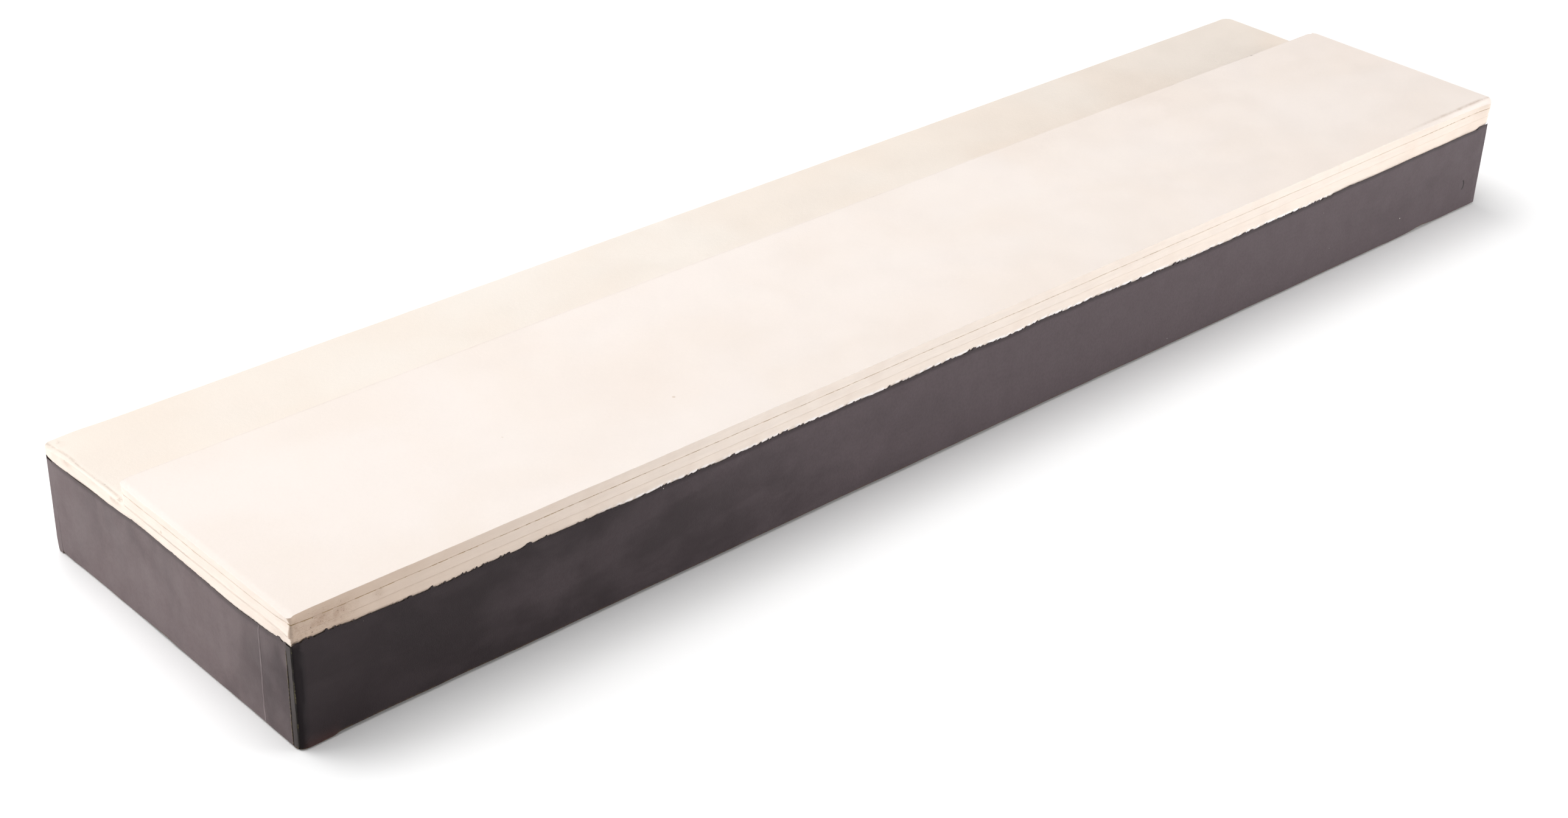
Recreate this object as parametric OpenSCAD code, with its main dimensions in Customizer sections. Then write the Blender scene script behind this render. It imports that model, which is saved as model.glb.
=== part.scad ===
// Leather-covered granite slab: a dead, flat weight to stamp, punch and tool leather on.
// The sawn granite core is dressed on four sides with black leather cladding and topped
// with three sheets of cream vegetable-tanned leather, all bonded with contact cement.
// The full-size base sheet covers the whole top; the middle and top sheets stop short
// of the rear edge and leave a lower ledge along the back.
// Origin: centre of the underside. X runs along the length, Y to the rear, Z up.

/* [Granite core] */
// Length of the granite along X
slab_l = 903; // [300:1:1200]
// Width of the granite along Y
slab_w = 208; // [110:1:400]
// Height of the granite
slab_h = 56.6; // [25:0.1:100]
// Bevel rubbed along the granite's sawn edges
slab_bevel = 0.8; // [0.4:0.1:2]

/* [Top leather] */
// Thickness of the full-size base sheet
base_t = 5.9; // [3:0.1:9]
// Thickness of the middle sheet
middle_t = 5.5; // [3:0.1:9]
// Thickness of the top sheet, the work surface
top_t = 5.5; // [3:0.1:9]
// Depth of the lower ledge left clear along the back
ledge_d = 72; // [20:1:90]
// Plan corner radius of the base sheet
base_corner_r = 3; // [1:0.5:5]
// Plan corner radius of the middle and top sheets
upper_corner_r = 4; // [2:0.5:12]
// Rounding rubbed along the open upper edges of the base and top sheets
sheet_edge_r = 1.2; // [0.4:0.1:2.5]

/* [Side cladding] */
// Thickness of the black leather on the four sides
clad_t = 5.2; // [3:0.1:8]
// Radius of the cladding's four outer upright corners, at most its thickness
clad_corner_r = 4; // [1:0.5:6]

/* [Contact cement] */
// Thickness of each dried film
glue_t = 0.3; // [0.2:0.05:0.6]
// Distance that a film stops short of the leather's outer edge
glue_inset = 0.5; // [0.2:0.1:2]

/* [Hidden] */
$fn = 48;
// Leather and film on one side of the granite
side_t = clad_t + glue_t;
// Outer plan size of the covered slab
overall_l = slab_l + 2 * side_t;
overall_w = slab_w + 2 * side_t;
// Width of the middle and top sheets, from the front edge to the ledge
upper_w = overall_w - ledge_d;
// Underside of each layer of the top
base_z = slab_h + glue_t;
middle_z = base_z + base_t + glue_t;
top_z = middle_z + middle_t + glue_t;
// Front and left edges of the covered slab
front_y = -overall_w / 2;
left_x = -overall_l / 2;
// Side cladding stands on the ground and stops level with the granite's top
clad_h = slab_h;
outer_corner_r = min(clad_corner_r, clad_t);

granite_colour = [0.42, 0.42, 0.43];
cream_colour = [0.98, 0.94, 0.89];
ledge_colour = [0.96, 0.91, 0.84];
black_colour = [0.27, 0.25, 0.25];
glue_colour = [0.62, 0.50, 0.30];

// Plan outline, length l by width w from its lower left corner, with corners of radius r
module plan(l, w, r) {
  translate([r, 0]) square([l - 2 * r, w]);
  translate([0, r]) square([l, w - 2 * r]);
  for (x = [r, l - r], y = [r, w - r]) translate([x, y]) circle(r);
}

// Section of a sheet, width w by height h, with its two upper corners rounded by r
module sheet_section(w, h, r) {
  square([w, h - r]);
  translate([r, 0]) square([w - 2 * r, h]);
  for (x = [r, w - r]) translate([x, h - r]) circle(r);
}

// Section of the granite, width w by height h, with a bevel b on all four corners
module stone_section(w, h, b) {
  polygon([[b, 0], [w - b, 0], [w, b], [w, h - b], [w - b, h], [b, h], [0, h - b], [0, b]]);
}

// Upright prism of a section drawn in Y and Z, run along X for length l
module along_x(l) {
  rotate([90, 0, 90]) linear_extrude(l) children();
}

// Upright prism of a section drawn in X and Z, run along Y for width w
module along_y(w) {
  translate([0, w, 0]) rotate([90, 0, 0]) linear_extrude(w) children();
}

// Leather sheet, l by w by t, with plan corners of radius r and rubbed upper edges
module leather_sheet(l, w, t, r) {
  intersection() {
    linear_extrude(t) plan(l, w, r);
    along_x(l) sheet_section(w, t, sheet_edge_r);
    along_y(w) sheet_section(l, t, sheet_edge_r);
  }
}

// Film of cement under a sheet of l by w with plan corners r, kept back from its edges
module sheet_film(l, w, r) {
  translate([glue_inset, glue_inset, 0])
    linear_extrude(glue_t) plan(l - 2 * glue_inset, w - 2 * glue_inset, r);
}

// The covered slab's outer shape up to the top of the cladding
module clad_envelope() {
  translate([left_x, front_y, 0])
    linear_extrude(clad_h) plan(overall_l, overall_w, outer_corner_r);
}

// Full-length cladding; it laps over the ends of the two short pieces
module long_cladding(y) {
  intersection() {
    clad_envelope();
    translate([left_x, y, 0]) cube([overall_l, clad_t, clad_h]);
  }
}

// Short cladding, butted between the two long pieces
module short_cladding(x) {
  translate([x, front_y + clad_t, 0]) cube([clad_t, overall_w - 2 * clad_t, clad_h]);
}

module granite_slab() {
  color(granite_colour)
    translate([-slab_l / 2, -slab_w / 2, 0])
      intersection() {
        along_x(slab_l) stone_section(slab_w, slab_h, slab_bevel);
        along_y(slab_w) stone_section(slab_l, slab_h, slab_bevel);
      }
}

module front_glue() {
  color(glue_colour)
    translate([-slab_l / 2, front_y + clad_t, glue_inset])
      cube([slab_l, glue_t, slab_h - 2 * glue_inset]);
}

module rear_glue() {
  color(glue_colour)
    translate([-slab_l / 2, slab_w / 2, glue_inset])
      cube([slab_l, glue_t, slab_h - 2 * glue_inset]);
}

module left_glue() {
  color(glue_colour)
    translate([left_x + clad_t, -slab_w / 2, glue_inset])
      cube([glue_t, slab_w, slab_h - 2 * glue_inset]);
}

module right_glue() {
  color(glue_colour)
    translate([slab_l / 2, -slab_w / 2, glue_inset])
      cube([glue_t, slab_w, slab_h - 2 * glue_inset]);
}

module front_cladding() {
  color(black_colour) long_cladding(front_y);
}

module rear_cladding() {
  color(black_colour) long_cladding(-front_y - clad_t);
}

module left_cladding() {
  color(black_colour) short_cladding(left_x);
}

module right_cladding() {
  color(black_colour) short_cladding(-left_x - clad_t);
}

module base_glue() {
  color(glue_colour)
    translate([left_x, front_y, slab_h]) sheet_film(overall_l, overall_w, outer_corner_r);
}

// Its upper edges are rubbed round only along the open ledge, behind the upper sheets
module base_sheet() {
  color(ledge_colour)
    translate([left_x, front_y, base_z]) {
      leather_sheet(overall_l, overall_w, base_t, base_corner_r);
      intersection() {
        linear_extrude(base_t) plan(overall_l, overall_w, base_corner_r);
        cube([overall_l, upper_w, base_t]);
      }
    }
}

module middle_glue() {
  color(glue_colour)
    translate([left_x, front_y, base_z + base_t])
      sheet_film(overall_l, upper_w, upper_corner_r);
}

module middle_sheet() {
  color(cream_colour)
    translate([left_x, front_y, middle_z])
      linear_extrude(middle_t) plan(overall_l, upper_w, upper_corner_r);
}

module top_glue() {
  color(glue_colour)
    translate([left_x, front_y, middle_z + middle_t])
      sheet_film(overall_l, upper_w, upper_corner_r);
}

module top_sheet() {
  color(cream_colour)
    translate([left_x, front_y, top_z])
      leather_sheet(overall_l, upper_w, top_t, upper_corner_r);
}

granite_slab();
front_glue();
rear_glue();
left_glue();
right_glue();
front_cladding();
rear_cladding();
left_cladding();
right_cladding();
base_glue();
base_sheet();
middle_glue();
middle_sheet();
top_glue();
top_sheet();
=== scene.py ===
import math

import bpy
import numpy as np
from mathutils import Matrix, Vector


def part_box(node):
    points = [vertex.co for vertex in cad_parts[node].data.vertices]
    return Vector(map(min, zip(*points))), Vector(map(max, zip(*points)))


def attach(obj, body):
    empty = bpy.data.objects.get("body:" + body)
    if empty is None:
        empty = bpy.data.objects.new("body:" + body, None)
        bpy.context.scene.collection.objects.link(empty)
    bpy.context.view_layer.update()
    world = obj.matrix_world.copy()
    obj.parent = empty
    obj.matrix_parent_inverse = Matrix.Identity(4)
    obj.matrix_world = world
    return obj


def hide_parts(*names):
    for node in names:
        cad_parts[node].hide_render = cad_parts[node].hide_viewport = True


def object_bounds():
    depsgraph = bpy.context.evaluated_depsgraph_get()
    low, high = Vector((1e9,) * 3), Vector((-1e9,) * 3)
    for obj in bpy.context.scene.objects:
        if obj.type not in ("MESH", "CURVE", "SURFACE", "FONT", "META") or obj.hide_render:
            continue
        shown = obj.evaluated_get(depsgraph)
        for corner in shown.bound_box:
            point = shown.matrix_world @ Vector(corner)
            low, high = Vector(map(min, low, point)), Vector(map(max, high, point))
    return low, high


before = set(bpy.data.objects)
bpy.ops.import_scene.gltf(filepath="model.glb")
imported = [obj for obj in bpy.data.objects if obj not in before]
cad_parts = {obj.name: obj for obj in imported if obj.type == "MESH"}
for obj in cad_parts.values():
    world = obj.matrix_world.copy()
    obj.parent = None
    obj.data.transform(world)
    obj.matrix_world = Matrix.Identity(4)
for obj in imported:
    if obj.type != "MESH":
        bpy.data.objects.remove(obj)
cad_low, cad_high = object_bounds()

# ---------------------------------------------------------------------------------------
# Studio. The slab lies on a plain white floor. The camera stands in front of its left end
# and looks down along it. Soft light comes from the left and above, weaker light from the
# right, and the front left stays in shade.
# ---------------------------------------------------------------------------------------
slab_length = cad_high.x - cad_low.x
near_corner = Vector((cad_low.x, cad_low.y, 0))

camera_place = Vector((-0.5212, -0.8962, 0.7899))  # from the near corner, in slab lengths
camera_turn, camera_tilt, camera_roll = (math.radians(a) for a in (-43.21, 30.07, 1.84))
camera_data = bpy.data.cameras.new("camera")
camera_data.sensor_width = 36
camera_data.lens = 58.98
camera = bpy.data.objects.new("camera", camera_data)
camera.matrix_world = (
    Matrix.Translation(near_corner + slab_length * camera_place)
    @ Matrix.Rotation(camera_turn, 4, "Z")
    @ Matrix.Rotation(math.pi / 2 - camera_tilt, 4, "X")
    @ Matrix.Rotation(camera_roll, 4, "Z")
)
bpy.context.scene.collection.objects.link(camera)
bpy.context.scene.camera = camera
bpy.context.scene.view_settings.view_transform = "Standard"

floor_half = 6.0
floor_drop = 0.0003
floor_mesh = bpy.data.meshes.new("floor")
floor_mesh.from_pydata(
    [(x, y, -floor_drop) for x, y in ((-1, -1), (1, -1), (1, 1), (-1, 1))], [], [(0, 1, 2, 3)]
)
floor_mesh.transform(Matrix.Diagonal((floor_half, floor_half, 1, 1)))
floor = bpy.data.objects.new("floor", floor_mesh)
bpy.context.scene.collection.objects.link(floor)
floor_paint = bpy.data.materials.new("floor_paint")
floor_paint.use_nodes = True
floor_paint.node_tree.nodes["Principled BSDF"].inputs["Base Color"].default_value = (0.95, 0.95, 0.95, 1)
floor_paint.node_tree.nodes["Principled BSDF"].inputs["Roughness"].default_value = 0.9
floor_mesh.materials.append(floor_paint)


def softbox(name, place, aim, width, height, power):
    """A rectangular lamp at place, turned to face aim."""
    lamp = bpy.data.lights.new(name, "AREA")
    lamp.shape = "RECTANGLE"
    lamp.size, lamp.size_y, lamp.energy = width, height, power
    box = bpy.data.objects.new(name, lamp)
    turn = (Vector(aim) - Vector(place)).to_track_quat("-Z", "Y")
    box.matrix_world = Matrix.Translation(place) @ turn.to_matrix().to_4x4()
    bpy.context.scene.collection.objects.link(box)


softbox("left_rear_softbox", (-1.7, 1.4, 0.40), (-0.2, 0, 0), 1.6, 0.6, 19)
softbox("far_left_softbox", (-3.4, 2.4, 0.5), (-0.3, 0, 0), 2.4, 0.8, 53)
softbox("top_softbox", (-0.5, 0.3, 2.2), (0, 0, 0), 2.0, 2.0, 34)
softbox("rear_softbox", (-0.4, 1.4, 2.2), (0, 0, 0), 2.4, 1.6, 32)
softbox("right_softbox", (2.3, -0.5, 0.6), (0.3, 0, 0), 1.2, 1.0, 17)
softbox("front_softbox", (1.6, -1.6, 0.7), (0.3, 0, 0), 1.2, 1.0, 14)
softbox("low_softbox", (2.2, -2.4, 0.35), (0.3, 0, 0), 1.8, 0.6, 50)

world = bpy.data.worlds.new("studio")
world.use_nodes = True
world.node_tree.nodes["Background"].inputs["Color"].default_value = (1, 1, 1, 1)
world.node_tree.nodes["Background"].inputs["Strength"].default_value = 0.20
bpy.context.scene.world = world

# ---------------------------------------------------------------------------------------
# Granite core. A block of grey granite, diamond-sawn on all sides and left bare below,
# where its sawn face shows between the cladding's lower edges. Its shape is the CAD node's.
# ---------------------------------------------------------------------------------------


class Finish:
    """A material being mixed. Each method adds one node and returns its output socket."""

    def __init__(self, name, roughness, specular=0.5):
        self.material = bpy.data.materials.new(name)
        self.material.use_nodes = True
        self.tree = self.material.node_tree
        self.shader = self.tree.nodes["Principled BSDF"]
        self.shader.inputs["Specular IOR Level"].default_value = specular
        self.shader.inputs["Roughness"].default_value = roughness
        self.place = self.tree.nodes.new("ShaderNodeTexCoord").outputs["Object"]

    def feed(self, value, socket):
        """Links a socket, or sets a plain number or colour."""
        if isinstance(value, bpy.types.NodeSocket):
            self.tree.links.new(value, socket)
        elif isinstance(value, tuple):
            socket.default_value = (*value, 1)
        else:
            socket.default_value = value

    def stretched(self, scale, turn=(0, 0, 0)):
        """The object's own coordinates, turned and then scaled along each axis."""
        node = self.tree.nodes.new("ShaderNodeMapping")
        self.tree.links.new(self.place, node.inputs["Vector"])
        node.inputs["Scale"].default_value = scale
        node.inputs["Rotation"].default_value = turn
        return node.outputs["Vector"]

    def noise(self, scale, detail=3, place=None, rough=0.5, warp=0.0):
        """Fractal noise with scale cells a metre, from 0 to 1."""
        node = self.tree.nodes.new("ShaderNodeTexNoise")
        self.tree.links.new(place or self.place, node.inputs["Vector"])
        node.inputs["Scale"].default_value = scale
        node.inputs["Detail"].default_value = detail
        node.inputs["Roughness"].default_value = rough
        node.inputs["Distortion"].default_value = warp
        return node.outputs["Fac"]

    def cells(self, scale, output="Distance", place=None):
        """Voronoi cells, scale of them a metre: the distance to each centre, or its own colour."""
        node = self.tree.nodes.new("ShaderNodeTexVoronoi")
        self.tree.links.new(place or self.place, node.inputs["Vector"])
        node.inputs["Scale"].default_value = scale
        return node.outputs[output]

    def between(self, value, low, high, to_low=0.0, to_high=1.0):
        """value from low to high, rescaled and clamped to to_low up to to_high."""
        node = self.tree.nodes.new("ShaderNodeMapRange")
        node.interpolation_type = "SMOOTHSTEP"
        for socket, number in zip(node.inputs, (value, low, high, to_low, to_high)):
            self.feed(number, socket)
        return node.outputs["Result"]

    def maths(self, operation, a, b=0.0):
        """One arithmetic step on two values."""
        node = self.tree.nodes.new("ShaderNodeMath")
        node.operation = operation
        self.feed(a, node.inputs[0])
        self.feed(b, node.inputs[1])
        return node.outputs["Value"]

    def blend(self, amount, a, b, kind="MIX"):
        """Colour a turned into colour b by amount."""
        node = self.tree.nodes.new("ShaderNodeMix")
        node.data_type = "RGBA"
        node.blend_type = kind
        self.feed(amount, node.inputs["Factor"])
        self.feed(a, node.inputs[6])
        self.feed(b, node.inputs[7])
        return node.outputs[2]

    def away_from(self, point):
        """Distance from the point, measured along x and z only."""
        node = self.tree.nodes.new("ShaderNodeVectorMath")
        node.operation = "DISTANCE"
        self.tree.links.new(self.stretched((1, 0, 1)), node.inputs[0])
        node.inputs[1].default_value = point
        return node.outputs["Value"]

    def along(self, direction):
        """Distance from the object's origin along a direction."""
        node = self.tree.nodes.new("ShaderNodeVectorMath")
        node.operation = "DOT_PRODUCT"
        self.tree.links.new(self.place, node.inputs[0])
        node.inputs[1].default_value = direction
        return node.outputs["Value"]

    def painted(self, name):
        """A value that the mesh carries at each point."""
        node = self.tree.nodes.new("ShaderNodeAttribute")
        node.attribute_name = name
        return node.outputs["Fac"]

    def relief(self, height, depth, below=None):
        """Bump of that depth in metres, on top of an earlier bump if there is one."""
        node = self.tree.nodes.new("ShaderNodeBump")
        node.inputs["Distance"].default_value = depth
        self.feed(height, node.inputs["Height"])
        if below is not None:
            self.feed(below, node.inputs["Normal"])
        return node.outputs["Normal"]

    def finish(self, colour, normal, roughness=None):
        """Puts the colour, the relief and a roughness that varies on the shader."""
        self.feed(colour, self.shader.inputs["Base Color"])
        self.feed(normal, self.shader.inputs["Normal"])
        if roughness is not None:
            self.feed(roughness, self.shader.inputs["Roughness"])
        return self.material


def sawn_granite():
    """Grey crystals 2 to 4 mm across, a few black and white, with faint saw tracks."""
    mix = Finish("sawn_granite", 0.65, 0.4)
    crystal = mix.between(mix.cells(380, "Color"), 0.25, 0.75)
    stone = mix.blend(crystal, (0.20, 0.20, 0.21), (0.50, 0.49, 0.48))
    mica = mix.between(mix.noise(520, 2), 0.60, 0.66)
    stone = mix.blend(mica, stone, (0.03, 0.03, 0.035))
    quartz = mix.between(mix.noise(300, 2, mix.stretched((1, 1.3, 1), (0.3, 0, 0.9))), 0.62, 0.68)
    stone = mix.blend(quartz, stone, (0.72, 0.70, 0.68))
    tracks = mix.noise(1, 2, mix.stretched((14, 700, 14), (0, 0, 0.18)))
    stone = mix.blend(mix.between(tracks, 0.35, 0.75, 0, 0.25), stone, (0.62, 0.62, 0.61))
    normal = mix.relief(tracks, 0.00015)
    return mix.finish(stone, mix.relief(mix.noise(900, 3), 0.0001, normal))


def repaint(node_name, material):
    """Gives a CAD node the material in every one of its slots."""
    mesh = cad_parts[node_name].data
    mesh.materials.clear()
    mesh.materials.append(material)


repaint("granite_slab", sawn_granite())

# ---------------------------------------------------------------------------------------
# Side cement. Amber contact cement brushed on the granite and on the back of each side
# piece. Only its dried edge shows, from below. The four films keep their CAD shape.
# ---------------------------------------------------------------------------------------


def dried_cement():
    """Amber cement, brown where it is thick and straw yellow where it is thin."""
    mix = Finish("dried_cement", 0.5)
    thick = mix.between(mix.noise(420, 4), 0.35, 0.65)
    amber = mix.blend(thick, (0.56, 0.41, 0.24), (0.20, 0.11, 0.05))
    return mix.finish(amber, mix.relief(thick, 0.0002))


cement = dried_cement()
for side_glue in ("front_glue", "rear_glue", "left_glue", "right_glue"):
    repaint(side_glue, cement)

# ---------------------------------------------------------------------------------------
# Side cladding. Four strips of 5 mm leather, dyed black through the grain, bonded to the
# granite's sides. The two long strips lap over the ends of the short ones, so their dyed
# cut ends show at the corners. The upper edges were trimmed by hand after gluing.
# ---------------------------------------------------------------------------------------
MM = 0.001  # lengths from here on are in mm, and MM turns them into the frame's metres
granite_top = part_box("granite_slab")[1].z / MM
whole_l = slab_length / MM
whole_w = (cad_high.y - cad_low.y) / MM
half_l, half_w = whole_l / 2, whole_w / 2
clad_t = (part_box("front_cladding")[1].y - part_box("front_cladding")[0].y) / MM
short_l = whole_w - 2 * clad_t


def lattice_noise(a, b, pitch, seed):
    """Smooth relief from -1 to 1: random heights on a square lattice of that pitch, blended
    across each cell by the smoothstep 3t^2 - 2t^3 both ways."""
    size_a, size_b = 1024, 256
    heights = np.random.default_rng(seed).uniform(-1, 1, (size_a, size_b))
    a, b = np.broadcast_arrays(np.asarray(a, float) / pitch, np.asarray(b, float) / pitch)
    column, row = np.floor(a).astype(int), np.floor(b).astype(int)
    ta, tb = a - column, b - row
    ta, tb = ta * ta * (3 - 2 * ta), tb * tb * (3 - 2 * tb)
    left = heights[column % size_a, row % size_b] * (1 - tb)
    left = left + heights[column % size_a, (row + 1) % size_b] * tb
    right = heights[(column + 1) % size_a, row % size_b] * (1 - tb)
    right = right + heights[(column + 1) % size_a, (row + 1) % size_b] * tb
    return left * (1 - ta) + right * ta


def hump(value, middle, spread):
    """A bell curve, 1 at middle and falling to a third one spread away."""
    return np.exp(-(((value - middle) / spread) ** 2))


def ramp(value, low, high):
    """0 below low, 1 above high, and a smoothstep between."""
    t = np.clip((value - low) / (high - low), 0, 1)
    return t * t * (3 - 2 * t)


def rectangle_walk(length, width, step_along, step_across):
    """Shares u and v from 0 to 1 of the points round a rectangle, anticlockwise from its
    lower left corner, with the number of steps along each long side and each short one."""
    along, across = round(length / step_along), round(width / step_across)
    go, stay = np.arange(along) / along, np.arange(across) / across
    u = np.concatenate([go, np.ones(across), 1 - go, np.zeros(across)])
    v = np.concatenate([np.zeros(along), stay, np.ones(along), 1 - stay])
    return u, v, along, across


def ring_solid(name, rings, along, across, paints):
    """A closed mesh through a stack of rings, given as an array of (ring, point, xyz) in mm.
    Rings are joined by quads. The first and the last are closed by strips that run across
    from each long side to the other, and by two fans at each end. paints is a set of
    values for each point that the material reads."""
    count, size, _ = rings.shape
    ring_start, point = np.arange(count - 1)[:, None] * size, np.arange(size)[None]
    here, onward = ring_start + point, ring_start + (point + 1) % size
    walls = np.stack([here, onward, onward + size, here + size], -1).reshape(-1, 4)
    far = 2 * along + across
    i = np.arange(1, along - 1)
    strip = np.stack([i, i + 1, far - i - 1, far - i], -1)
    right_end = np.arange(along - 1, along + across + 2)
    left_end = np.concatenate([np.arange(far - 1, size), [0, 1]])
    top = (count - 1) * size
    faces = walls.tolist() + (strip + top).tolist() + strip[:, ::-1].tolist()
    for end in (right_end, left_end):
        last, half = len(end) - 1, len(end) // 2
        lower, upper = np.arange(1, half), np.arange(half, last - 1)
        lower_fan = np.stack([0 * lower, lower, lower + 1], -1)
        upper_fan = np.stack([upper, upper + 1, 0 * upper + last], -1)
        fans = end[np.concatenate([lower_fan, upper_fan, [[0, half, last]]])]
        faces += (fans + top).tolist() + fans[:, ::-1].tolist()
    mesh = bpy.data.meshes.new(name)
    mesh.from_pydata((rings.reshape(-1, 3) * MM).tolist(), [], faces)
    for paint, values in paints.items():
        layer = mesh.attributes.new(paint, "FLOAT", "POINT")
        values = np.clip(np.broadcast_to(values, (count, size)), 0, 1)
        layer.data.foreach_set("value", values.astype(np.float32).ravel())
    mesh.shade_smooth()
    mesh.set_sharp_from_angle(angle=math.radians(32))
    piece = bpy.data.objects.new(name, mesh)
    bpy.context.scene.collection.objects.link(piece)
    return piece


def settle(piece, material, slot, *nodes):
    """The piece takes its material, rides on the slab and stands for its CAD nodes."""
    piece.data.materials.append(material)
    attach(piece, "root")
    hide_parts(*nodes)


def teeth(a, seed):
    """Knife chatter along a cut: small ragged steps, and narrow spikes up to 1.5 mm tall, busier
    in some stretches than in others."""
    steps = 0.16 * lattice_noise(a, 0, 1.1, seed) + 0.28 * lattice_noise(a, 3, 3.6, seed + 1)
    busy = 0.5 + 0.5 * ramp(lattice_noise(a, 7, 30, seed + 2), -0.6, 0.2)
    spikes = ramp(lattice_noise(a, 5, 1.0, seed + 3), 0.15, 0.8)
    return busy * (steps + 1.5 * spikes)


# Each hand-trimmed edge: distance from the left or front end, and height over the granite
front_cut = [
    (0, 1.7), (14, 2.1), (29, 1.7), (33, 0.9), (50, 0.5), (86, -0.3), (105, 0), (143, 0.4), (200, -0.2),
    (250, -0.1), (290, 0.1), (360, -0.3), (430, 0), (461, -1.0), (487, -0.1), (530, -0.5), (572, -1.5),
    (640, -2.1), (749, -2.2), (751, -1.2), (790, -1.4), (855, -0.8), (902, -1.0), (905, 0.3), (914, 0.2),
]
left_cut = [
    (0, 0.7), (11, 0.5), (20, -0.7), (44, -1.7), (69, -1.2), (81, -0.6), (134, 0), (147, -0.9),
    (161, -1.9), (190, -2.5), (206, -2.2), (219, -0.9),
]
rear_cut = [
    (0, -0.9), (25, -1.2), (120, -0.7), (260, -1.3), (430, -0.6), (590, -1.2), (760, -1.8), (914, -1.2),
]
right_cut = [(0, -1.0), (40, -0.4), (95, -1.2), (150, -0.6), (219, -1.5)]


def trimmed(points, waver, seed):
    """The height of a trimmed edge at a distance along it: straight cuts between the points,
    with a slow waver of that many mm."""
    places, heights = np.array(points, float).T

    def height(a):
        return granite_top + np.interp(a, places, heights) + waver * lattice_noise(a, 0, 12, seed)

    return height


front_trim = trimmed(front_cut, 0.25, 11)
left_trim = trimmed(left_cut, 0.1, 21)
rear_trim = trimmed(rear_cut, 0.25, 31)
right_trim = trimmed(right_cut, 0.15, 41)


def front_bite(x):
    """The front edge's teeth, which all but stop 160 mm short of the right end."""
    return (1 - 0.85 * ramp(x, 745, 752)) * teeth(x, 13)


def left_bite(y):
    """The left edge, cut clean but for one torn nick near the front corner."""
    return 0.3 * teeth(y, 23) + 2.4 * hump(y, 11, 1.0) - 0.8 * hump(y, 8.2, 1.2)


# Rings from a strip's back to its face: inset from its outline, and depth under its face
strip_inset = np.array([0] * 9 + [0.1, 0.4, 0.9, 1.6, 2.6, 4.2, 7, 11, 16, 22, 27])
strip_depth = np.array([1, 0.6, 0.36, 0.27, 0.21, 0.16, 0.11, 0.06, 0.02] + [0] * 11)
post_step = 1.3  # between the points up a strip's ends
tooth_reach = 1.1  # from a trimmed edge down to where its teeth die out
feather_drop = 1.8  # how far a trimmed edge falls behind its face


def cladding(name, length, turn, reach, step, trim, bite, low_edge, shape):
    """A strip of leather on the side that is turned by turn from the front, its face at reach
    from the slab's middle, with a point every step mm. A point has a distance a along the strip,
    a height z and a depth e under its face. The height is stretched between low_edge(a) and
    trim(a), and the teeth bite(a) are added to the outermost points. The top edge is a feather:
    it falls by feather_drop within the first half millimetre of depth. shape(a, z, e, side)
    moves a and e and gives the paints, where side is -1 and 1 at the two cut ends and 0 between."""
    u, v, along, across = rectangle_walk(length, granite_top, step, post_step)
    inset = strip_inset[:, None]
    a = inset + u * (length - 2 * inset)
    share = (inset + v * (granite_top - 2 * inset)) / granite_top
    low, high = low_edge(a), trim(a)
    e = strip_depth[:, None] * clad_t + 0 * a
    z = low + share * (high - low)
    z = z + ramp(z, high - tooth_reach, high) * bite(a) * (v == 1)
    z = z - (inset == 0) * (v == 1) * feather_drop * ramp(e, 0.1, 0.6)
    side = (inset == 0) * np.where(u == 0, -1, np.where(u == 1, 1, 0))
    a, e, paints = shape(a, z, e, side)
    # A dark band along the trimmed top edge: partly the edge's darker dye, partly painted shade under the
    # cream sheet's overhang
    rim = ramp(z, high - 2.6, high - 0.6) * (strip_depth[:, None] < 0.03)
    foot = hump(z, low, 0.55) * (strip_depth[:, None] < 0.4) + (inset == 0) * (v == 0)
    x, y = a - length / 2, e - reach
    cos, sin = round(math.cos(turn)), round(math.sin(turn))
    rings = np.stack([x * cos - y * sin, x * sin + y * cos, z], -1)
    return ring_solid(name, rings, along, across, {"rim": rim, "raw": foot, **paints})


def round_arris(a, e, radius):
    """Rounds the arris between a face and a cut end: in the corner square the point p, measured
    from the arc's centre, moves to p times its larger coordinate over its length."""
    pa, pe = np.clip(radius - a, 0, None), np.clip(radius - e, 0, None)
    scale = np.maximum(pa, pe) / np.maximum(np.hypot(pa, pe), 1e-9)
    return a + pa * (1 - scale), e + pe * (1 - scale)


def handled(a, z, seed):
    """Relief of glued-down leather: slow swells 0.2 mm deep, finer unevenness, and a lower arris
    that is eased back by half a millimetre."""
    swells = 0.2 * lattice_noise(a, z, 42, seed) + 0.07 * lattice_noise(a, z, 9, seed + 1)
    return swells + 0.5 * hump(z, 0, 1.0)


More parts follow.
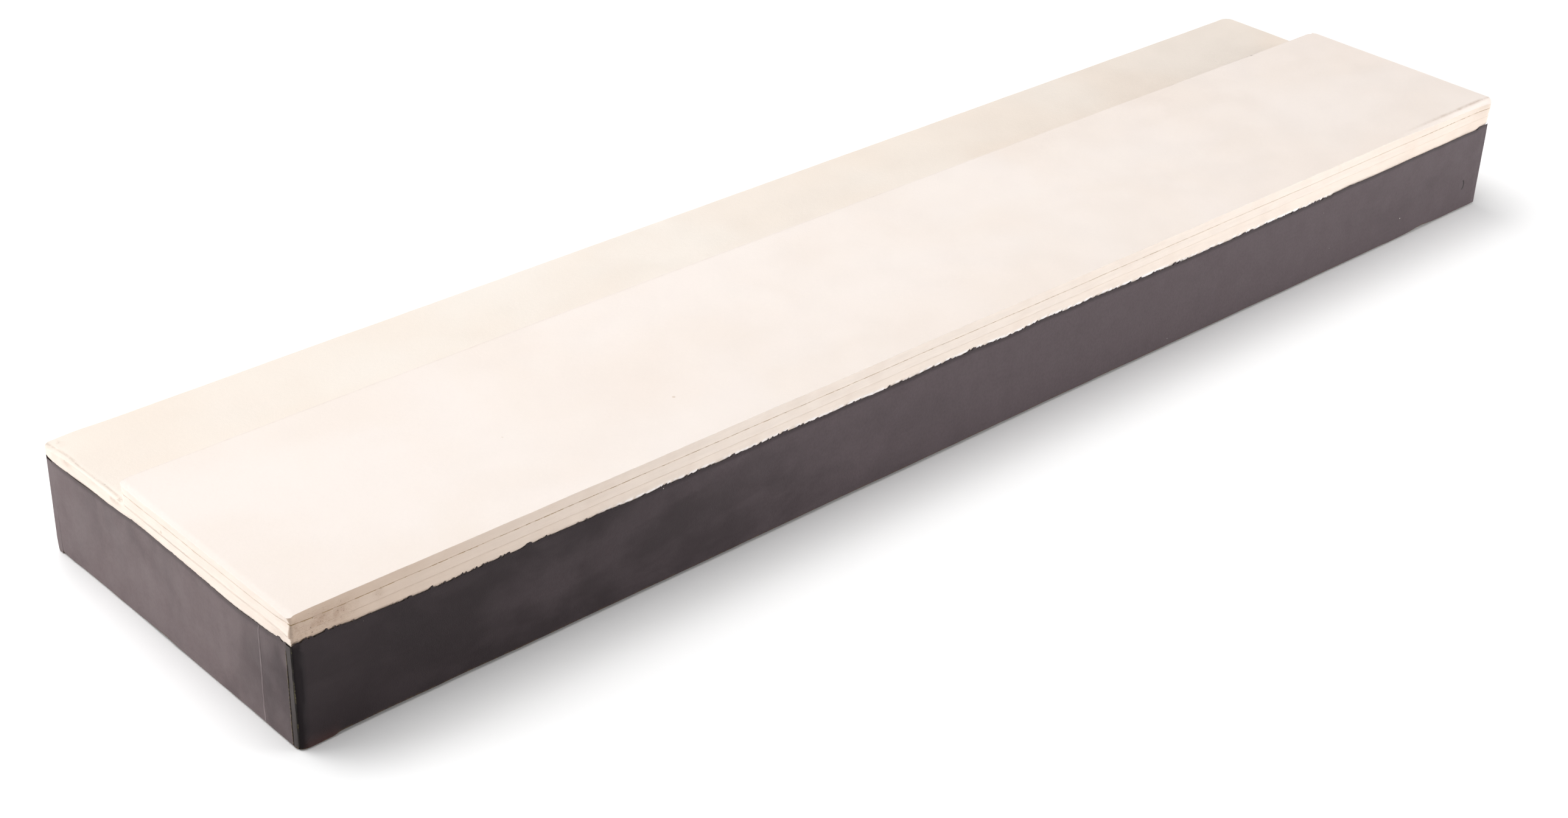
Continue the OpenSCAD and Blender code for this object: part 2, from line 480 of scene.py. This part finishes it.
def front_ends(a, z, e, side, seed):
    """The front strip's ends and face. Its left arris is rounder at the bottom, 3.6 mm, than at
    the top, 1.2 mm, and the right one half as round. A ragged crack runs down each cut end just
    under the grain."""
    skin = 1 - e / clad_t
    radius = (3.6 - 2.4 * ramp(z, 0, 50)) * np.where(a < half_l, 1, 0.5)
    end = np.minimum(a, whole_l - a)
    end_rolled, rolled = round_arris(end, e, radius)
    open_at = 0.95 + 0.25 * lattice_noise(z, 0, 7, seed) + 0.12 * lattice_noise(z, 4, 2, seed + 1)
    crack = np.abs(side) * hump(e, open_at, 0.5)
    setback = np.abs(side) * (0.35 + 0.12 * lattice_noise(z, e, 4, seed + 2)) + 1.6 * crack
    a = a + np.sign(whole_l / 2 - a) * (end_rolled - end + setback)
    e = rolled + handled(a, z, seed + 3) * skin
    tufted = ramp(lattice_noise(z, 0, 4, seed + 5), -0.1, 0.5)
    paints = {
        "cut": np.abs(side) * ramp(e, 0.5, 1.4),
        # Painted shade on the front strip's rounded face near its left end
        "burnish": ramp(5.6 - a + 0.5 * lattice_noise(z, 0, 6, seed + 4), 0, 1.6) * (1 - np.abs(side)),
        "crack": crack,
        "fibre": np.abs(side) * hump(e, open_at + 0.55, 0.14) * tufted,
    }
    return a, e, paints


def front_shape(a, z, e, side):
    """The front strip: worn at its lower near corner, with a pale rubbed line 3.6 mm short of its
    right end, and lighter towards the right, from dust and from painted sheen."""
    worn = hump(z, 0, 4.2) * ramp(a, 1, 6) * ramp(24 - a, 0, 6)
    # Lighter towards the right: partly dust, partly painted sheen of the light grazing that end
    dusty = 0.08 + 0.95 * ramp(a, -60, 560) - 0.14 * ramp(a, 680, 880)
    dusty = dusty + 0.12 * lattice_noise(a, z * 2.5, 70, 57)
    broken = ramp(lattice_noise(z, 0, 5, 58), -0.5, 0.4)
    pale_line = 0.7 * hump(whole_l - a, 3.6, 0.5) * broken * (e < 0.1)
    a, e, paints = front_ends(a, z, e, side, 51)
    paints = {**paints, "worn": worn, "dusty": dusty, "crease": pale_line}
    return a, e - 0.5 * worn * (e < 1), paints


left_proud = 0.9  # how far the left strip stands out at its rear end


def rear_shape(a, z, e, side):
    """The rear strip, handled less than the front. Its ends are cut flush with the short strips'
    faces, the left one that much further out, with a small even arris."""
    end = np.minimum(a, whole_l - a)
    end_rolled, rolled = round_arris(end, e, 0.5 + 1.0 * ramp(8 - z, 0, 8))
    a = a + np.sign(whole_l / 2 - a) * (end_rolled - end) + left_proud * (side > 0)
    e = rolled + handled(a, z, 63) * (1 - e / clad_t)
    return a, e, {"dusty": 0.92 + 0.1 * lattice_noise(a, z * 2.5, 70, 67)}


def short_strip(a, z, e, side, seed):
    """A short strip's face and ends. Its cut ends stand against the long strips' backs, and its
    top is pinched in by half a millimetre."""
    ragged = 0.12 * lattice_noise(z, 0, 2.2, seed) + 0.1 * lattice_noise(z, 5, 8, seed + 1) - 0.15
    pinch = 0.45 * ramp(z, 50.5, 56) ** 2
    e = e + (handled(a, z, seed + 2) + pinch) * (1 - e / clad_t)
    near_end = np.minimum(a, short_l - a)
    fringe = hump(near_end, 0, 0.35 + 0.2 * lattice_noise(z, 9, 3, seed + 3)) * ramp(0.8 - e, 0, 0.6)
    return a + side * ragged, e, {"fibre": 0.6 * fringe * (a > short_l / 2)}


def left_shape(a, z, e, side):
    """The left strip. It stands out more and more towards the rear, up to left_proud."""
    y = whole_w - clad_t - a
    a, e, paints = short_strip(a, z, e, side, 71)
    e = e - left_proud * hump(y, whole_w, 30) * (1 - e / clad_t)
    dusty = 0.35 + 0.5 * ramp(y, 10, 60) + 0.15 * lattice_noise(y, z * 1.5, 30, 77)
    return a, e, {**paints, "dusty": dusty}


def right_shape(a, z, e, side):
    """The right strip, a plain one."""
    a, e, paints = short_strip(a, z, e, side, 81)
    return a, e, {**paints, "dusty": 0.85 + 0.12 * lattice_noise(a, z, 30, 87)}


lint_cells = 75  # a metre; each may hold one speck of lint
# The colour of the painted shade on the front strip's rounded near corner
near_corner_shade_colour = (0.004, 0.002, 0.003)
cut_fibre = (0.040, 0.035, 0.032)
worn_red = (0.050, 0.020, 0.017)
olive_fibre = (0.21, 0.18, 0.09)


def nail_mark(mix, skin, centre):
    """A nail's curved gouge: the part of a circle of 4.6 mm round the centre that lies within
    4 mm of its rightmost side."""
    groove = mix.maths("ABSOLUTE", mix.maths("SUBTRACT", mix.away_from(centre), 0.0046))
    reach = mix.away_from((centre[0] + 0.0050, 0, centre[2]))
    mark = mix.maths("MULTIPLY", mix.between(groove, 0.0008, 0.0003), mix.between(reach, 0.0044, 0.0030))
    return mix.blend(mark, skin, (0.008, 0.005, 0.006))


def fold_line(mix, skin, normal, direction, distance):
    """A pale fold line, faint in places, through the points that far along the direction. It
    wavers by 0.3 mm, and it is raised a little over the relief below."""
    off_line = mix.maths("SUBTRACT", mix.along(direction), distance)
    off_line = mix.maths("ADD", off_line, mix.between(mix.noise(90, 2), 0.3, 0.7, -0.0003, 0.0003))
    fold = mix.between(mix.maths("ABSOLUTE", off_line), 0.0009, 0.0001)
    faint = mix.between(mix.noise(130, 3), 0.3, 0.65, 0.05, 0.5)
    skin = mix.blend(mix.maths("MULTIPLY", fold, faint), skin, (0.23, 0.19, 0.19))
    return skin, mix.relief(fold, 0.0002, normal)


def black_leather(name, dark, light, turn, streaks, uneven, gouge=None, crease=None):
    """Black drum-dyed leather with a soft grease sheen: cloudy, streaked and lighter where dust
    and painted sheen lie, specked with lint, olive where the dye hasn't reached the fibre, with
    painted shade on the near corner's band, under the trimmed edge and in the crack. turn lays
    the lint on the face, streaks are the streaks' scale and turn, and uneven is how strong they
    and the clouds are. gouge is the centre of a nail mark, and crease a fold line's direction
    and distance, in m."""
    mix = Finish(name, 0.5, 0.2)
    mix.shader.inputs["Sheen Weight"].default_value = 0.09
    mix.shader.inputs["Sheen Roughness"].default_value = 0.4
    mix.shader.inputs["Sheen Tint"].default_value = (0.90, 0.55, 0.66, 1)

    cloud = mix.noise(24, 4, rough=0.55, warp=0.4)
    # Lighter diagonal streaks: smudges on the leather, with painted sheen in them
    rubbed = mix.noise(1, 3, mix.stretched(*streaks), warp=0.4)
    mottle = mix.maths("ADD", mix.maths("MULTIPLY", cloud, 0.5), mix.maths("MULTIPLY", rubbed, 0.5))
    mottle = mix.between(mottle, 0.36, 0.64, -uneven, uneven)
    # Lighter where this mask is high: dust, with painted sheen and light
    skin = mix.blend(mix.between(mix.maths("ADD", mix.painted("dusty"), mottle), 0, 1), dark, light)
    skin = mix.blend(mix.between(mix.noise(620, 2), 0.35, 0.7, 0, 0.12), skin, dark)
    scuffs = mix.noise(1, 4, mix.stretched((50, 50, 1100), (0.5, 0.35, 0)))
    skin = mix.blend(mix.between(scuffs, 0.74, 0.84, 0, 0.06), skin, (0.16, 0.14, 0.145))

    marks = (
        # The first two marks are painted shade: the near corner's rounded band, and the band under the
        # cream sheet along the trimmed top edge
        ("burnish", 0.85, near_corner_shade_colour), ("rim", 0.6, dark), ("cut", 0.9, cut_fibre),
        ("worn", 0.7, worn_red), ("crease", 0.5, (0.20, 0.165, 0.17)),
    )
    for paint, strength, colour in marks:
        skin = mix.blend(mix.maths("MULTIPLY", mix.painted(paint), strength), skin, colour)
    tuft = mix.between(mix.noise(700, 3), 0.42, 0.62, 0.15, 1)
    skin = mix.blend(mix.maths("MULTIPLY", mix.painted("raw"), tuft), skin, (0.11, 0.075, 0.035))
    # Near black in the crack: painted shadow inside the torn grain
    skin = mix.blend(mix.painted("crack"), skin, (0.002, 0.002, 0.002))
    skin = mix.blend(mix.maths("MULTIPLY", mix.painted("fibre"), tuft), skin, olive_fibre)

    flat = mix.stretched((1, 1, 1), turn)
    threshold = mix.between(mix.noise(9, 2), 0.45, 0.62, 0.86, 0.62)
    pick = mix.maths("GREATER_THAN", mix.cells(lint_cells, "Color", flat), threshold)
    speck = mix.between(mix.cells(lint_cells, "Distance", flat), 0.040, 0.026)
    skin = mix.blend(mix.maths("MULTIPLY", speck, pick), skin, (0.58, 0.55, 0.50))

    normal = mix.relief(mix.cells(1500), 0.00003)
    if gouge:
        skin = nail_mark(mix, skin, gouge)
    if crease:
        skin, normal = fold_line(mix, skin, normal, *crease)
    normal = mix.relief(mix.noise(220, 4), 0.00004, normal)
    rough = mix.between(mix.noise(55, 4), 0.3, 0.7, 0.46, 0.6)
    # Rougher on the near corner's band of painted shade
    rough = mix.maths("MAXIMUM", rough, mix.maths("MULTIPLY", mix.painted("burnish"), 0.8))
    return mix.finish(skin, normal, rough)


quarter = math.pi / 2
front_leather = black_leather(
    "front_black", (0.0165, 0.0105, 0.0120), (0.076, 0.057, 0.062), (quarter, 0, 0),
    ((22, 22, 60), (0, 0.5, 0)), 0.12, gouge=((892.6 - half_l) * MM, 0, 18.3 * MM),
)
# A lighter copy of the front's leather for the left, rear and right strips: partly dust and rubbing,
# partly painted light from the left
rubbed_and_lit_look = {
    "dark": (0.036, 0.026, 0.027), "light": (0.122, 0.094, 0.094), "turn": (quarter, 0, quarter),
    "streaks": ((52, 52, 24), (-0.5, 0, 0)), "uneven": 0.22,
}
left_leather = black_leather("left_black", crease=((0, 1, 0.023), (28.3 - half_w) * MM), **rubbed_and_lit_look)
rear_leather = black_leather("rear_black", **rubbed_and_lit_look)


def front_low(a):
    """The lower edge stands about 1 mm off the ground, except at the scuffed near corner, and
    waves near the right end."""
    wave = 0.15 * lattice_noise(a, 0, 25, 90) + 1.3 * hump(a, 853, 12) - 0.3 * hump(a, 822, 12)
    return 0.3 + 1.0 * ramp(a, 17, 22) * (1 - 0.6 * ramp(a, 400, 800)) + wave


def left_low(a):
    """The lower edge touches the ground, with a shallow arch half way."""
    return 0.15 + 1.4 * hump(whole_w - clad_t - a, 117, 14) + 0.15 * lattice_noise(a, 0, 18, 91)


def plain_low(a):
    """A lower edge that touches the ground nearly all along."""
    return 0.2 * (1 + lattice_noise(a, 0, 30, 92))


front_strip = cladding(
    "black_front", whole_l, 0, half_w, 0.45, front_trim, front_bite, front_low, front_shape
)
left_strip = cladding(
    "black_left", short_l, -quarter, half_l, 0.6,
    lambda a: left_trim(whole_w - clad_t - a), lambda a: left_bite(whole_w - clad_t - a),
    left_low, left_shape,
)
rear_strip = cladding(
    "black_rear", whole_l, 2 * quarter, half_w, 0.8,
    lambda a: rear_trim(whole_l - a), lambda a: 0.7 * teeth(a, 33), plain_low, rear_shape,
)
right_strip = cladding(
    "black_right", short_l, quarter, half_l, 0.8,
    lambda a: right_trim(a + clad_t), lambda a: 0.3 * teeth(a, 43), plain_low, right_shape,
)
settle(front_strip, front_leather, "black_leather", "front_cladding")
settle(left_strip, left_leather, "black_leather", "left_cladding")
settle(rear_strip, rear_leather, "black_leather", "rear_cladding")
settle(right_strip, rear_leather, "black_leather", "right_cladding")

# ---------------------------------------------------------------------------------------
# Cream sheets and the cement between them. Three sheets of undyed vegetable-tanned leather,
# grain side up. The base sheet covers all, pressed down behind the cladding's trimmed edge.
# The other two leave a ledge along the back, and cement shows as brown dots in their seam.
# ---------------------------------------------------------------------------------------


def round_plan(x, y, length, width, radii):
    """Rounds the corners of a rectangle's plan by four radii, front left and right and rear left
    and right: in each corner square the point p, measured from the arc's centre, moves to p times
    its larger coordinate over its length. The direction from the arc's centre is the way out."""
    front, rear = np.where(x < length / 2, *radii[:2]), np.where(x < length / 2, *radii[2:])
    radius = np.where(y < width / 2, front, rear)
    inner_x, inner_y = np.clip(x, radius, length - radius), np.clip(y, radius, width - radius)
    px, py = x - inner_x, y - inner_y
    size = np.maximum(np.hypot(px, py), 1e-9)
    scale = np.maximum(np.abs(px), np.abs(py)) / size
    return inner_x + px * scale, inner_y + py * scale, px / size, py / size


def sheet(name, width, radii, inset, rise, low, high, shape):
    """A sheet of leather that wide. Its rings go from its underside, out to its cut edge, up
    that edge and in over the grain. inset and rise are one number for each ring: mm in from the
    plan's outline, and the share of the height from low(x, y) to high. shape(x, y, z, wall)
    gives how far the cut edge stands proud, how much the ring is lifted, and the paints."""
    u, v, along, across = rectangle_walk(whole_l, width, 1.0, 1.0)
    plan_x, plan_y, out_x, out_y = round_plan(u * whole_l, v * width, whole_l, width, radii)
    shrink = inset[:, None]
    x = half_l + (plan_x - half_l) * (1 - shrink / half_l)
    y = width / 2 + (plan_y - width / 2) * (1 - shrink / (width / 2))
    low = low(x, y) + 0 * x
    z = low + rise[:, None] * (high - low)
    wall = ramp(0.9 - shrink, 0, 0.8)
    proud, lift, paints = shape(x, y, z, wall)
    rings = np.stack([x + out_x * proud - half_l, y + out_y * proud - half_w, z + lift], -1)
    paints = {"edge": wall * (rise[:, None] < 0.995) * (shrink < 0.5), **paints}
    return ring_solid(name, rings, along, across, paints)


speck_cells = 45  # a metre; one in five holds a brown speck
# The brown of hand stains, and of painted shade at the right end
stain_and_shade_brown = (0.40, 0.27, 0.18)
# A near-white ragged line along the base sheet's front edge, above the cladding
ragged_white = (0.93, 0.92, 0.93)


def cream_leather(name, grain, warm, edge, tint):
    """Undyed leather: pale clouds on the grain with a few specks, finely streaked fibre on cut
    edges, brown where hands have stained it and cracked dirt where they have rubbed it, the same
    browns as painted shade under an arris, along a crease and towards the right end, and a
    ragged white line."""
    mix = Finish(name, 0.6, 0.3)
    cloud = mix.between(mix.noise(11, 3, warp=0.3), 0.35, 0.68)
    skin = mix.blend(cloud, grain, warm)
    blush = mix.between(mix.noise(5, 2, mix.stretched((1, 1, 1), (0, 0, 0.6))), 0.45, 0.7, 0, 0.35)
    skin = mix.blend(blush, skin, tint)
    strands = mix.noise(1, 4, mix.stretched((50, 50, 620)), rough=0.6)
    fibre = mix.blend(mix.between(strands, 0.3, 0.7, 0, 0.5), edge, tuple(0.90 * c for c in edge))
    blotch = mix.between(mix.noise(70, 3, rough=0.5), 0.42, 0.68, 0, 0.12)
    fibre = mix.blend(blotch, fibre, (0.62, 0.49, 0.40))
    skin = mix.blend(mix.painted("edge"), skin, fibre)

    pick = mix.maths("GREATER_THAN", mix.cells(speck_cells, "Color"), 0.8)
    speck = mix.maths("MULTIPLY", mix.between(mix.cells(speck_cells), 0.05, 0.03), pick)
    skin = mix.blend(mix.maths("MULTIPLY", speck, 0.5), skin, (0.50, 0.38, 0.28))
    skin = mix.blend(mix.painted("stain"), skin, stain_and_shade_brown)

    smear = mix.between(mix.noise(170, 4, rough=0.6, warp=0.5), 0.36, 0.66, 0.42, 0.95)
    wandering = mix.noise(330, 3, mix.stretched((1, 1, 1.6)), warp=1.5)
    veins = mix.maths("MULTIPLY", mix.between(wandering, 0.49, 0.52), mix.between(wandering, 0.55, 0.52))
    flecks = mix.between(mix.noise(650, 2), 0.66, 0.72)
    dirt = (
        (smear, (0.38, 0.27, 0.20)),
        (mix.maths("MULTIPLY", veins, 0.5), (0.26, 0.17, 0.10)),
        (flecks, (0.16, 0.11, 0.08)),
    )
    # The mask is real dirt, and painted shade in two bands, both in these dirt colours
    for pattern, colour in dirt:
        skin = mix.blend(mix.maths("MULTIPLY", mix.painted("soil"), pattern), skin, colour)
    skin = mix.blend(mix.painted("fringe"), skin, ragged_white)

    grainy = mix.relief(mix.cells(1300), 0.00003)
    fuzzy = mix.relief(mix.noise(420, 4, rough=0.6), 0.00014, grainy)
    rough = mix.between(mix.noise(45, 3), 0.3, 0.7, 0.5, 0.7)
    return mix.finish(skin, fuzzy, rough)


def squeezed_cement(name, pale, brown, share):
    """Cement in a seam: rubbed in leather dust, with a share of brown dots of dried cement."""
    mix = Finish(name, 0.6, 0.3)
    dots = mix.between(mix.noise(340, 3), 0.66 - 0.2 * share, 0.76 - 0.2 * share)
    dots = mix.maths("MULTIPLY", dots, mix.painted("dotted"))
    # Browner where the sheets are stained, and where shade is painted at the right end
    dust = mix.blend(mix.painted("stain"), pale, stain_and_shade_brown)
    return mix.finish(mix.blend(dots, dust, brown), mix.relief(mix.noise(700, 3), 0.0002))


upper_w = (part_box("top_sheet")[1].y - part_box("top_sheet")[0].y) / MM
base_low, base_high = (corner.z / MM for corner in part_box("base_sheet"))
middle_low, middle_high = (corner.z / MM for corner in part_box("middle_sheet"))
top_low, top_high = (corner.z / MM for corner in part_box("top_sheet"))

# How far the stack's near corner stands in or out at each height, from hand trimming
corner_heights = [57.5, 59.8, 63.2, 65.5, 69.0, 71.5, 74.4]
corner_proud = [-0.15, -0.9, 0.3, 0.0, -0.9, -0.3, 0.5]


def cut_edge(x, y, z, wall):
    """The trimmed edge of the stack: a slow lean and fine unevenness, and the near corner's
    own profile within 8 mm of it."""
    run = x - y
    lean = 0.16 * lattice_noise(run, z, 26, 98) + 0.08 * lattice_noise(run, z * 1.5, 6, 99)
    spread = ramp(x, 900, 911) * ramp(z, 57, 75)
    return wall * (lean + spread + hump(run, -2, 8) * np.interp(z, corner_heights, corner_proud))


def corner_soil(x, y, z):
    """Handling dirt on the front of the near corner, and a thumb smudge 47 mm along."""
    front = y < 1.5
    patch = (0.35 + 0.65 * ramp(x, -2, 6)) * ramp(42 - x, 0, 22) * hump(z, 65, 7)
    smudge = hump(x, 47, 2.2) * hump(z, 66, 3.4) * 0.5
    return front * (patch + smudge)


def hand_stain_and_right_shade(x, y):
    """Brown from years of hands along the front's edge, fading out 320 mm from the near corner,
    and a weaker painted shade at the right end."""
    near_end = 0.48 * ramp(320 - x, 0, 330) + 0.13 * ramp(120 - x, 0, 120)
    # At the right end this is painted shade
    right_end = 0.12 * ramp(x, 740, 840) + 0.12 * ramp(x, 860, 914)
    return (y < 1.5) * (near_end + right_end)


def lower_rim(x, y):
    """Where the base sheet's cut edge meets the cladding's trimmed edge, under its teeth."""
    ends = np.where(x < 5, left_trim(y), right_trim(y))
    sides = np.where(y < half_w, front_trim(x), rear_trim(x))
    across = np.minimum(x, whole_l - x) < np.minimum(y, whole_w - y)
    return np.where(across, ends, sides)


def base_shape(x, y, z, wall):
    """The base sheet: a fine fold line just inside its left edge along the ledge, with a tuft
    where it starts, a worn left arris with painted shade under it, and a frayed rear left corner
    that droops and springs out. Its cut edge is set back behind the cladding, with a ragged white
    line at the front, and its grain on the ledge has painted shade towards the right end."""
    rim = lower_rim(x, y)
    corner = np.hypot(x, y - whole_w)
    on_grain = z > base_high - 0.02
    fold = hump(x, 1.8 + 0.5 * lattice_noise(y, 0, 9, 103), 0.45) * on_grain
    fold = fold * ramp(y, upper_w - 1, upper_w + 5)
    frayed = ramp(lattice_noise(x * 1.3, y, 1.8, 104), 0, 0.8) * hump(corner, 3, 5)
    tuft = hump(x, 0, 2) * hump(y, upper_w + 2, 2.2) * on_grain
    worn = 0.8 * np.clip(1 - x / 2.4, 0, 1) ** 2 * ramp(z, base_high - 1.5, base_high)
    lift = 0.08 * lattice_noise(x, y, 50, 105) * on_grain - 0.3 * fold + 0.4 * frayed - worn
    sprung = 1.5 * hump(corner, 0, 22)
    lift = lift - 1.2 * hump(corner, 0, 13) * ramp(z, base_low, base_high)
    proud = cut_edge(x, y, z, wall) + wall * sprung - 0.55 * ramp(rim + 1.7 - z, 0, 1.0)
    soil = corner_soil(x, y, z) + 0.5 * fold + 0.35 * frayed + 0.6 * tuft
    # A band near the top of the left end wall, under the worn arris: painted shade
    soil = soil + 0.4 * wall * (x < 3) * hump(z, 60.5, 1.6) * ramp(lattice_noise(y, z, 9, 106), -0.2, 0.8)
    # On the ledge's grain the mask is painted shade, darker towards the right end
    stain = wall * hand_stain_and_right_shade(x, y) + on_grain * (1 - wall) * 0.16 * ramp(x, 520, 930)
    fringe = hump(z, rim + 0.95, 0.9) * (y < 2) * ramp(x, 150, 200) * ramp(755 - x, 0, 10)
    fringe = fringe * ramp(lattice_noise(x, z, 1.7, 107), -0.4, 0.3) * (0.7 + 0.3 * ramp(x, 150, 600))
    return proud + 0.4 * fringe, lift + 0.3 * tuft, {"soil": soil, "fringe": fringe, "stain": stain}


# Rings of the base sheet. It is pressed down a little behind the cladding's trimmed edge.
base_inset = np.array([
    9, 5.4, 4.8, 1.6, 0.5, 0.4, 0.2, 0.05, 0, 0, 0, 0, 0, 0, 0, 0, 0,
    0.02, 0.08, 0.25, 0.8, 1.5, 2.1, 3, 5, 9, 16, 28, 46, 66,
])
base_rise = np.array([
    0.05, 0.05, -0.2, -0.2, -0.2, -0.1, -0.02, 0.05, 0.12, 0.2, 0.3, 0.4, 0.52, 0.64, 0.76, 0.86, 0.93,
    0.97, 0.992, 1, 1, 1, 1, 1, 1, 1, 1, 1, 1, 1,
])
base_radii = (2.0, 3.0, 2.2, 5.5)
upper_radii = (1.5, 3.0, 4.5, 5.5)
base_cream = cream_leather(
    "base_cream", (0.75, 0.69, 0.63), (0.735, 0.66, 0.59), (0.78, 0.68, 0.60), (0.72, 0.62, 0.53)
)
base_piece = sheet(
    "cream_base", whole_w, base_radii, base_inset, base_rise, lower_rim, base_high, base_shape
)
settle(base_piece, base_cream, "cream_leather", "base_sheet")


def film(name, node, width, radii, setback, spill, material, seed):
    """A dried film of cement under a sheet. Its edge lies setback inside the sheets' cut edges,
    or outside them where that is negative, and wanders a tenth or so, where the cement was
    squeezed out. There it laps over both sheets' arrises by spill times its thickness."""
    low, high = (corner.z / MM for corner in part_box(node))

    def shape(x, y, z, wall):
        wander = 0.07 * lattice_noise(x - y, z, 1.8, seed) + 0.07 * lattice_noise(x - y, z, 7, seed + 1)
        dotted = np.where(y < 2, 1.0, 0.25) * (1 - 0.45 * ramp(x, 60, 350) - 0.4 * ramp(x, 480, 800))
        dotted = dotted + 0.5 * (x < 3) * ramp(14 - y, 0, 14) + 0.7 * ramp(x, 810, 870)
        paints = {"dotted": dotted, "stain": hand_stain_and_right_shade(x, y)}
        return cut_edge(x, y, z, wall) + wall * (wander - setback), 0 * x, paints

    inset = np.array([6, 0.4, 0, 0, 0.4, 6])
    rise = np.array([0, -spill, 0.2, 0.8, 1 + spill, 1])
    piece = sheet(name, width, radii, inset, rise, lambda x, y: low, high, shape)
    settle(piece, material, "contact_cement", node)


pale_seam = squeezed_cement("pale_seam", (0.755, 0.655, 0.58), (0.64, 0.53, 0.43), 0.1)
brown_seam = squeezed_cement("brown_seam", (0.70, 0.59, 0.50), (0.33, 0.23, 0.12), 1.05)
film("cement_base", "base_glue", whole_w, base_radii, 5.6, 0.2, cement, 111)
film("cement_middle", "middle_glue", upper_w, upper_radii, -0.12, 0.8, pale_seam, 113)
film("cement_top", "top_glue", upper_w, upper_radii, -0.09, 0.3, brown_seam, 116)


def rear_bow(x, y):
    """The upper sheets' rear edge bows out 1 mm left of the middle and runs in 2 mm at the right."""
    return (y > upper_w - 2) * (hump(x, 300, 220) - 2.0 * ramp(x, 620, 914))


def middle_shape(x, y, z, wall):
    """The middle sheet, flush with the base sheet at the front and both ends."""
    proud = cut_edge(x, y, z, wall) + wall * rear_bow(x, y)
    soil = corner_soil(x, y, z) + 0.15 * (y > upper_w - 1)
    return proud, 0 * x, {"soil": soil * wall, "stain": wall * hand_stain_and_right_shade(x, y)}


def top_shape(x, y, z, wall):
    """The top sheet. Its left end leans out over the middle sheet under a rounded arris, and its
    front arris is planed down towards the right end, with a line of painted shade along the cut.
    Its grain has painted shade towards the right end."""
    lean_out = 0.5 * (x < 2) * ramp(z, top_low, top_high) * wall
    proud = cut_edge(x, y, z, wall) + lean_out + wall * rear_bow(x, y)
    planed = ramp(x, 800, 905) * ramp(z, top_low + 2, top_high)
    planed = planed * (2.1 * ramp(3.4 - y, 0, 3.0) - 0.5 * hump(y, 1.4, 0.7))
    inside = np.minimum(np.minimum(x, whole_l - x), np.minimum(y, upper_w - y))
    lift = 0.1 * lattice_noise(x, y, 60, 133) * ramp(inside, 0.3, 6) - planed
    lift = lift - 0.9 * np.clip(1 - x / 3.2, 0, 1) ** 2 * ramp(z, top_high - 1.5, top_high)
    # A line of painted shade along the crease where the planed facet meets the grain
    line = 0.7 * hump(y, 3.5, 0.6) * ramp(x, 810, 890) * (z > top_high - 0.3)
    soil = 0.8 * corner_soil(x, y, z) * wall * (z < top_high - 0.05) + 0.15 * (y > upper_w - 1) * wall
    # On the grain the mask is painted shade, darker towards the right end
    stain = wall * hand_stain_and_right_shade(x, y) * (z < top_high - 0.02) * 1.12 + (1 - wall) * 0.05 * ramp(x, 600, 914)
    return proud, lift, {"soil": soil + line, "stain": stain}


# Rings of the two upper sheets
middle_inset = np.array([5, 0.05, 0.01, 0, 0, 0, 0, 0, 0, 0, 0.01, 0.05, 5])
middle_rise = np.array([0, 0, 0.01, 0.06, 0.2, 0.35, 0.5, 0.65, 0.8, 0.94, 0.99, 1, 1])
top_inset = np.array([
    5, 0.05, 0.01, 0, 0, 0, 0, 0, 0, 0.01, 0.05, 0.3, 0.7, 1.3, 2.1, 2.9, 3.7, 6, 10, 20, 40, 60,
])
top_rise = np.array([0, 0, 0.01, 0.07, 0.2, 0.36, 0.52, 0.68, 0.84, 0.97] + [1] * 12)
upper_cream = cream_leather(
    "upper_cream", (0.757, 0.69, 0.645), (0.74, 0.665, 0.61), (0.78, 0.685, 0.61), (0.72, 0.62, 0.55)
)
middle_piece = sheet(
    "cream_middle", upper_w, upper_radii, middle_inset, middle_rise,
    lambda x, y: middle_low, middle_high, middle_shape,
)
top_piece = sheet(
    "cream_top", upper_w, upper_radii, top_inset, top_rise, lambda x, y: top_low, top_high, top_shape
)
settle(middle_piece, upper_cream, "cream_leather", "middle_sheet")
settle(top_piece, upper_cream, "cream_leather", "top_sheet")
